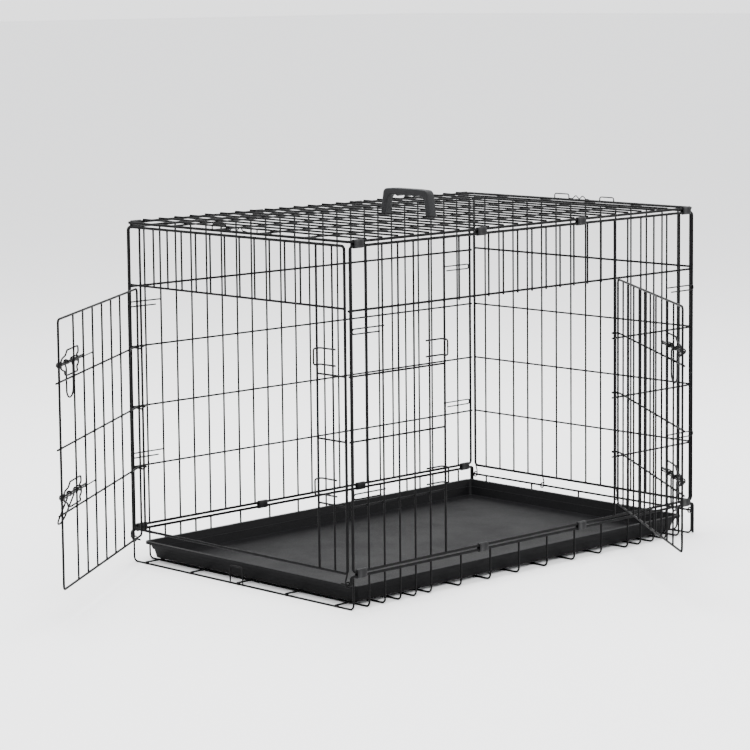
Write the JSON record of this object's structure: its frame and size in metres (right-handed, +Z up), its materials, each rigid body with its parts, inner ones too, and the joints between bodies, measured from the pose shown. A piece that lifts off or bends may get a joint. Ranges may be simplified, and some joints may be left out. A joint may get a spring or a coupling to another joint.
{
  "type": "wire dog crate",
  "caption": "Folding black wire dog crate with a hinged door in one end and one side, slide-bolt latches, a slide-out tray and a carrying handle.",
  "frame": {"origin": "on the floor, under the crate's centre, at the underside of the base grid's middle wire", "axes": "+X along the crate away from the end door, +Y across it away from the side door, +Z up"},
  "size_m": [1.5487, 1.1406, 0.803],
  "materials": {
    "coated_wire": "satin black electro-coat on steel wire",
    "latch_wire": "satin black coat, slightly glossier and worn at the rubbing places",
    "hinge_clips": "black coated sheet steel",
    "tray_plastic": "matt black moulded plastic",
    "handle_plastic": "dark grey moulded plastic"
  },
  "bodies": {
    "base": {"base_grid": "coated_wire", "tray_stop": "coated_wire", "back_base_clip_0": "hinge_clips", "back_base_clip_1": "hinge_clips", "back_base_clip_2": "hinge_clips", "back_base_clip_3": "hinge_clips", "front_base_clip_0": "hinge_clips", "front_base_clip_1": "hinge_clips", "front_base_clip_2": "hinge_clips", "front_base_clip_3": "hinge_clips"},
    "front_side": {"front_side_panel": "coated_wire", "side_door_low_keeper": "coated_wire", "side_door_high_keeper": "coated_wire", "front_left_high_hook": "coated_wire", "front_left_low_hook": "coated_wire", "front_right_high_hook": "coated_wire", "front_right_low_hook": "coated_wire"},
    "back_side": {"back_side_panel": "coated_wire", "back_left_high_hook": "coated_wire", "back_left_low_hook": "coated_wire", "back_right_high_hook": "coated_wire", "back_right_low_hook": "coated_wire"},
    "roof": {"roof_panel": "coated_wire", "handle": "handle_plastic", "back_roof_clip_0": "hinge_clips", "back_roof_clip_1": "hinge_clips", "back_roof_clip_2": "hinge_clips", "back_roof_clip_3": "hinge_clips", "front_roof_clip_0": "hinge_clips", "front_roof_clip_1": "hinge_clips", "front_roof_clip_2": "hinge_clips", "front_roof_clip_3": "hinge_clips", "left_bracket_roof_loop": "coated_wire", "left_hook_roof_loop": "coated_wire", "right_bracket_roof_loop": "coated_wire", "right_hook_roof_loop": "coated_wire"},
    "left_end": {"left_end_panel": "coated_wire", "end_door_low_keeper": "coated_wire", "end_door_high_keeper": "coated_wire"},
    "right_end": {"right_end_panel": "coated_wire"},
    "tray": {"tray": "tray_plastic"},
    "side_door": {"side_door": "coated_wire", "side_door_low_bracket": "coated_wire", "side_door_high_bracket": "coated_wire"},
    "side_door_low_bolt": {"side_door_low_bolt": "latch_wire"},
    "side_door_low_tail": {"side_door_low_tail": "latch_wire"},
    "side_door_high_bolt": {"side_door_high_bolt": "latch_wire"},
    "side_door_high_tail": {"side_door_high_tail": "latch_wire"},
    "end_door": {"end_door": "coated_wire", "end_door_low_bracket": "coated_wire", "end_door_high_bracket": "coated_wire"},
    "end_door_low_bolt": {"end_door_low_bolt": "latch_wire"},
    "end_door_low_tail": {"end_door_low_tail": "latch_wire"},
    "end_door_high_bolt": {"end_door_high_bolt": "latch_wire"},
    "end_door_high_tail": {"end_door_high_tail": "latch_wire"}
  },
  "joints": [
    {"name": "front_side_fold", "type": "hinge", "parent": "base", "child": "front_side", "pos_m": [0, -0.3465, 0.079], "axis": [-1, 0, 0], "range_deg": [0, 85]},
    {"name": "back_side_fold", "type": "hinge", "parent": "base", "child": "back_side", "pos_m": [0, 0.3465, 0.079], "axis": [-1, 0, 0], "range_deg": [0, 85]},
    {"name": "roof_fold", "type": "hinge", "parent": "back_side", "child": "roof", "pos_m": [0, 0.3465, 0.734], "axis": [-1, 0, 0], "range_deg": [-85, 0]},
    {"name": "left_end_fold", "type": "hinge", "parent": "base", "child": "left_end", "pos_m": [-0.5365, 0, 0.053], "axis": [0, -1, 0], "range_deg": [-33, 0]},
    {"name": "right_end_fold", "type": "hinge", "parent": "base", "child": "right_end", "pos_m": [0.5365, 0, 0.053], "axis": [0, 1, 0], "range_deg": [-90, 0]},
    {"name": "side_door_swing", "type": "hinge", "parent": "front_side", "child": "side_door", "pos_m": [0.26525, -0.3465, 0.3565], "axis": [0, 0, 1], "range_deg": [-55, 55]},
    {"name": "end_door_swing", "type": "hinge", "parent": "left_end", "child": "end_door", "pos_m": [-0.5365, 0.3003, 0.33675], "axis": [0, 0, -1], "range_deg": [-55.5, 64]},
    {"name": "side_door_low_bolt_slide", "type": "slide", "parent": "side_door", "child": "side_door_low_bolt", "axis": [0.5736, 0.8192, 0], "range_m": [-0.042, 0]},
    {"name": "side_door_low_tail_hinge", "type": "hinge", "parent": "side_door_low_bolt", "child": "side_door_low_tail", "pos_m": [0.03069, -0.70903, 0.2465], "axis": [-0.5736, -0.8192, 0], "range_deg": [0, 150]},
    {"name": "side_door_high_bolt_slide", "type": "slide", "parent": "side_door", "child": "side_door_high_bolt", "axis": [0.5736, 0.8192, 0], "range_m": [-0.042, 0]},
    {"name": "side_door_high_tail_hinge", "type": "hinge", "parent": "side_door_high_bolt", "child": "side_door_high_tail", "pos_m": [0.03069, -0.70903, 0.5105], "axis": [-0.5736, -0.8192, 0], "range_deg": [0, 150]},
    {"name": "end_door_low_bolt_slide", "type": "slide", "parent": "end_door", "child": "end_door_low_bolt", "axis": [0.8241, 0.5664, 0], "range_m": [-0.042, 0]},
    {"name": "end_door_low_tail_hinge", "type": "hinge", "parent": "end_door_low_bolt", "child": "end_door_low_tail", "pos_m": [-0.92076, 0.05538, 0.2465], "axis": [0.8241, 0.5664, 0], "range_deg": [-23, 127]},
    {"name": "end_door_high_bolt_slide", "type": "slide", "parent": "end_door", "child": "end_door_high_bolt", "axis": [0.8241, 0.5664, 0], "range_m": [-0.042, 0]},
    {"name": "end_door_high_tail_hinge", "type": "hinge", "parent": "end_door_high_bolt", "child": "end_door_high_tail", "pos_m": [-0.92076, 0.05538, 0.5105], "axis": [0.8241, 0.5664, 0], "range_deg": [0, 150]},
    {"name": "tray_slide", "type": "slide", "parent": "base", "child": "tray", "axis": [-1, 0, 0], "range_m": [0, 1.03], "deforming": ["tray_stop"]}
  ],
  "couplings": [
    {"joint": "back_side_fold", "follows": "front_side_fold", "ratio": 1},
    {"joint": "roof_fold", "follows": "front_side_fold", "ratio": -1}
  ]
}
